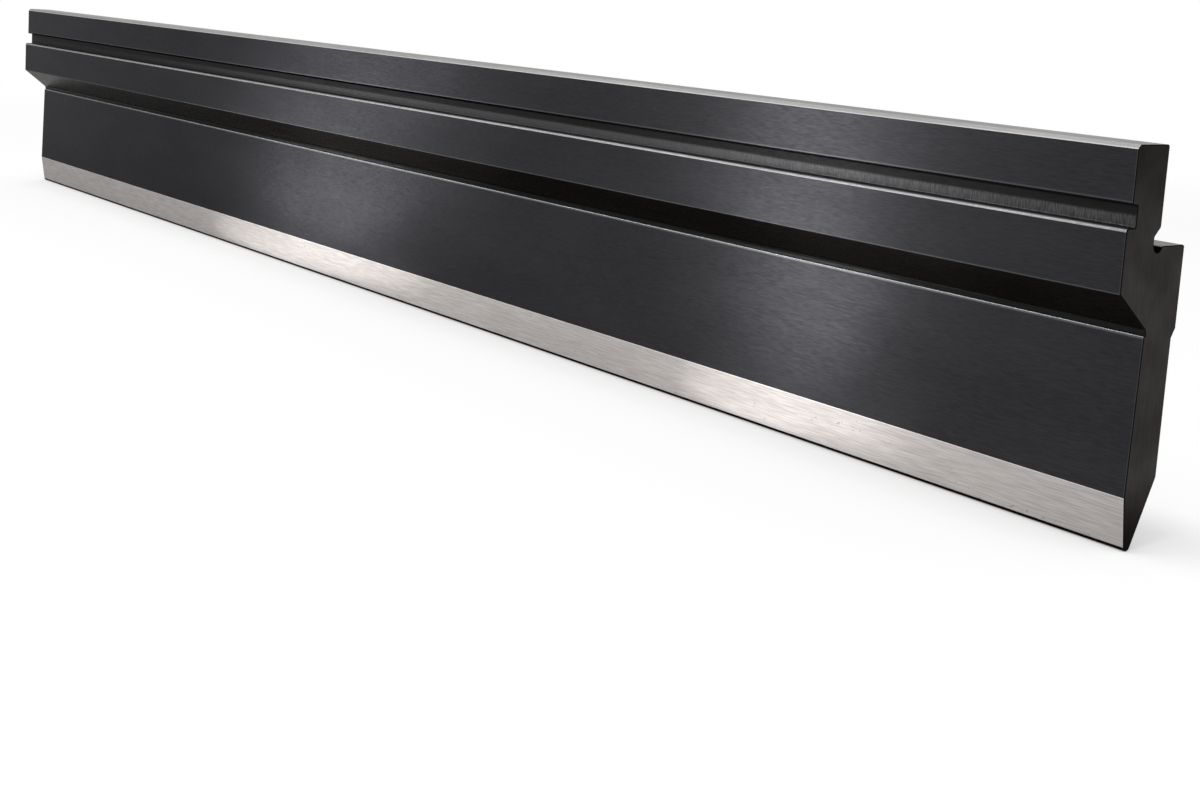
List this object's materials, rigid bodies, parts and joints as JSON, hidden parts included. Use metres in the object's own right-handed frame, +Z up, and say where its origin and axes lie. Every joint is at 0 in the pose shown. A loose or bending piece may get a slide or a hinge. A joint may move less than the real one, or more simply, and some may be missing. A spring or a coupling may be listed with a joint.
{
  "type": "press brake punch",
  "caption": "Straight steel press brake punch with a clamping tang, a safety groove, an offset shoulder and a narrow blade ground to a rounded bending edge.",
  "frame": {"origin": "middle of the length, where the plane of the tang's back face crosses the plane of the shoulder seat; the bending edge lies straight below it", "axes": "+X along the bar, -Y towards the operator's side with the safety groove, +Y towards the shoulder's side, +Z up out of the seat; the blade points down"},
  "size_m": [0.835, 0.0275, 0.1125],
  "materials": {
    "blackened_steel": "satin blackened steel, lightly brushed along its length, with ground seat, tang top and bevels"
  },
  "bodies": {
    "root": {"punch": "blackened_steel"}
  },
  "joints": []
}
